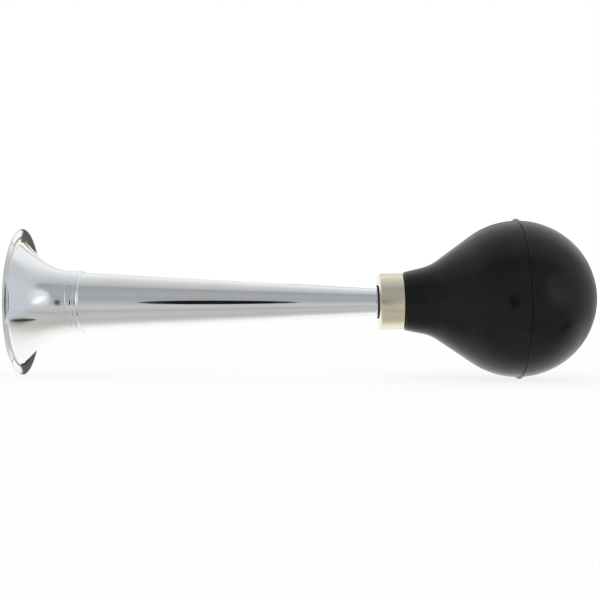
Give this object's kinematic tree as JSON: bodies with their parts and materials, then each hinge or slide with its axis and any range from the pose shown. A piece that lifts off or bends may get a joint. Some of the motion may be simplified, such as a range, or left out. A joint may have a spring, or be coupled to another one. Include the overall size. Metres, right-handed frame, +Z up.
{
  "type": "bulb horn",
  "caption": "Straight bulb horn: a spun chrome bell on a tapered tube, with a reed in the tail and a screwed-on black rubber squeeze bulb.",
  "frame": {"origin": "on the floor under the middle of the horn as it lies on its side", "axes": "+X along the horn from the mouth of the bell to the bulb, +Z up from the floor, +Y across"},
  "size_m": [0.3322, 0.093, 0.093],
  "materials": {
    "bell_chrome": "bright plated and polished",
    "sleeve_chrome": "bright plated and polished",
    "tube_chrome": "bright plated and polished",
    "stem_chrome": "bright plated",
    "rim_steel": "drawn wire",
    "washer_rubber": "matt",
    "gasket_leather": "matt",
    "reed_brass": "turned and filed",
    "tongue_bronze": "rolled strip",
    "screw_brass": "turned",
    "ferrule_nickel": "nickel plated, soft satin shine",
    "insert_brass": "turned",
    "bulb_rubber": "moulded, satin"
  },
  "bodies": {
    "horn": {"bell": "bell_chrome", "rim_wire": "rim_steel", "coupling_sleeve": "sleeve_chrome", "tube": "tube_chrome", "tail_stem": "stem_chrome", "reed_gasket": "gasket_leather", "reed_block": "reed_brass", "reed_clamp": "reed_brass", "reed_screw_left": "screw_brass", "reed_screw_right": "screw_brass"},
    "reed": {"reed_tongue": "tongue_bronze"},
    "washer": {"seal_washer": "washer_rubber"},
    "bulb_mount": {"bulb_ferrule": "ferrule_nickel", "neck_insert": "insert_brass", "bulb_front": "bulb_rubber"},
    "bulb_back": {"bulb_rear": "bulb_rubber"}
  },
  "joints": [
    {"name": "reed_buzz", "type": "hinge", "parent": "horn", "child": "reed", "pos_m": [0.05999, 0, 0.04314], "axis": [0, 1, 0], "range_deg": [-2.8, 1], "stiffness_Nm_per_rad": 0.02},
    {"name": "bulb_turn", "type": "hinge", "parent": "horn", "child": "washer", "pos_m": [0.03936, 0, 0.04404], "axis": [0.9996, 0, 0.0299], "range_deg": [0, 2500]},
    {"name": "bulb_draw", "type": "slide", "parent": "washer", "child": "bulb_mount", "axis": [0.9996, 0, 0.0299], "range_m": [0, 0.01042]},
    {"name": "bulb_squeeze", "type": "slide", "parent": "bulb_mount", "child": "bulb_back", "axis": [-0.9996, 0, -0.0299], "range_m": [0, 0.02], "stiffness_N_per_m": 1200, "deforming": ["bulb_front", "bulb_rear"]}
  ],
  "couplings": [
    {"joint": "bulb_draw", "follows": "bulb_turn", "m_per_rad": 0.00023873}
  ]
}
